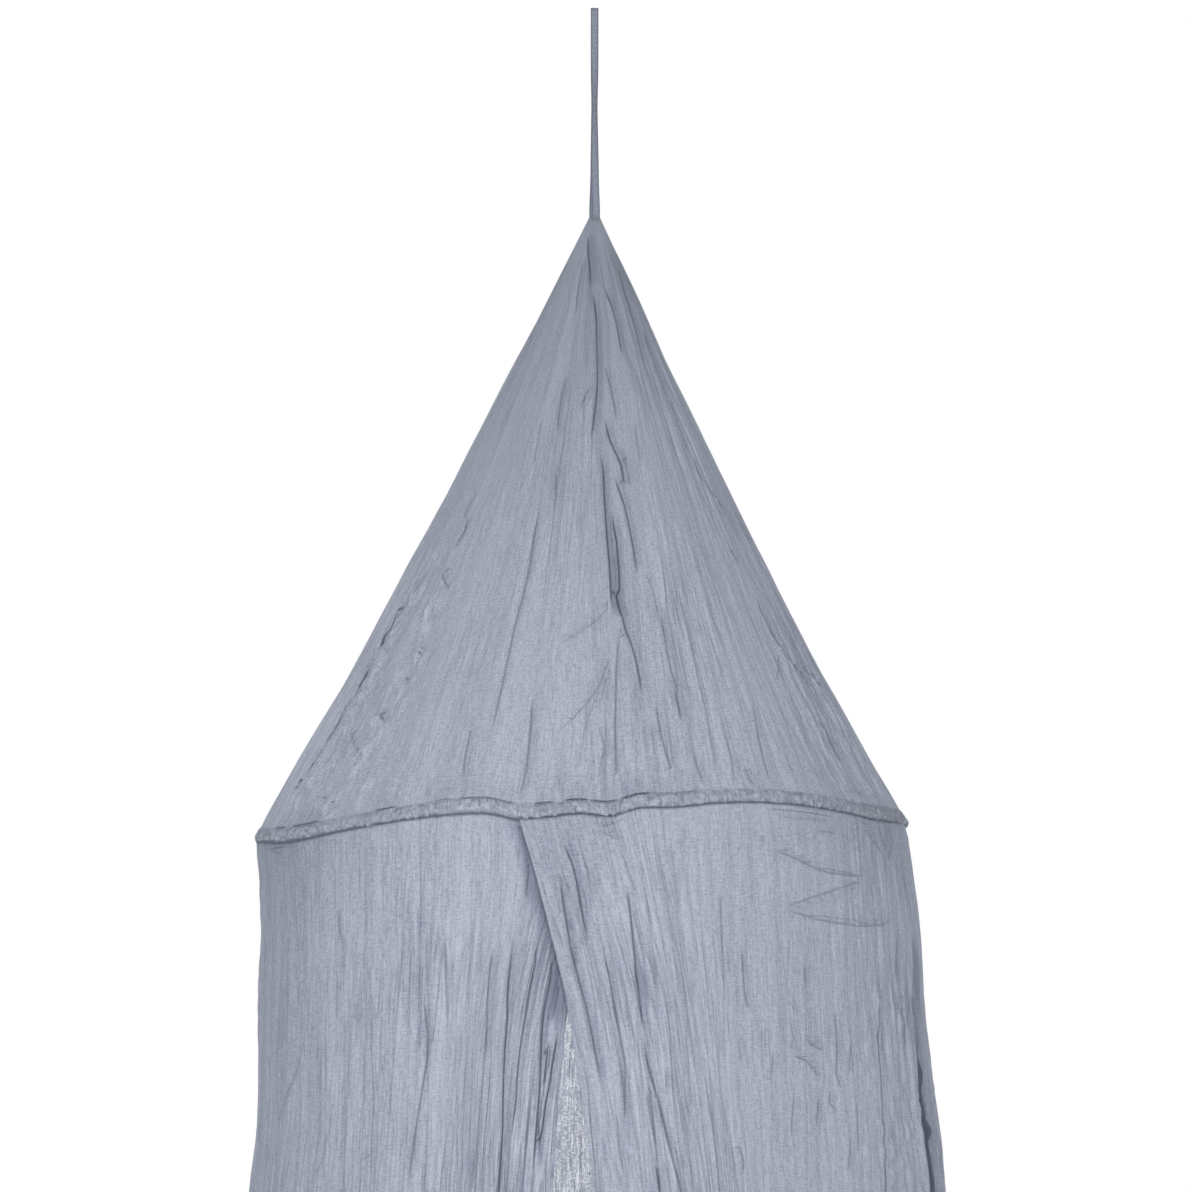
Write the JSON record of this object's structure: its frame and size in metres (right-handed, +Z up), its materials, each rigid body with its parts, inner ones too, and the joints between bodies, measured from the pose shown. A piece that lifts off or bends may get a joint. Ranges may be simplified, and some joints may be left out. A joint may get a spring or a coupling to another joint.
{
  "type": "mosquito net canopy with hoop",
  "caption": "Hanging mosquito net canopy: a conical muslin roof and two lapped curtains on a hoop in a puckered casing, hung from a loop of tape.",
  "frame": {"origin": "where a ceiling hook bears, on the underside of the bend in the top of the hanging loop", "axes": "+Z up, -Y towards the front where the curtains part, +X to the right side as seen from the front"},
  "size_m": [0.6441, 0.6253, 1.5809],
  "materials": {
    "muslin": "thin crinkled cotton muslin, matt, blue-grey, seen through where it is one layer",
    "tape": "flat woven cotton tape, matt, a darker blue-grey",
    "hoop_plastic": "smooth pale plastic, hidden in the casing"
  },
  "bodies": {
    "root": {"hang_loop": "tape", "roof": "muslin", "hoop_casing": "muslin", "hoop": "hoop_plastic", "curtain_left": "muslin", "curtain_right": "muslin"}
  },
  "joints": []
}
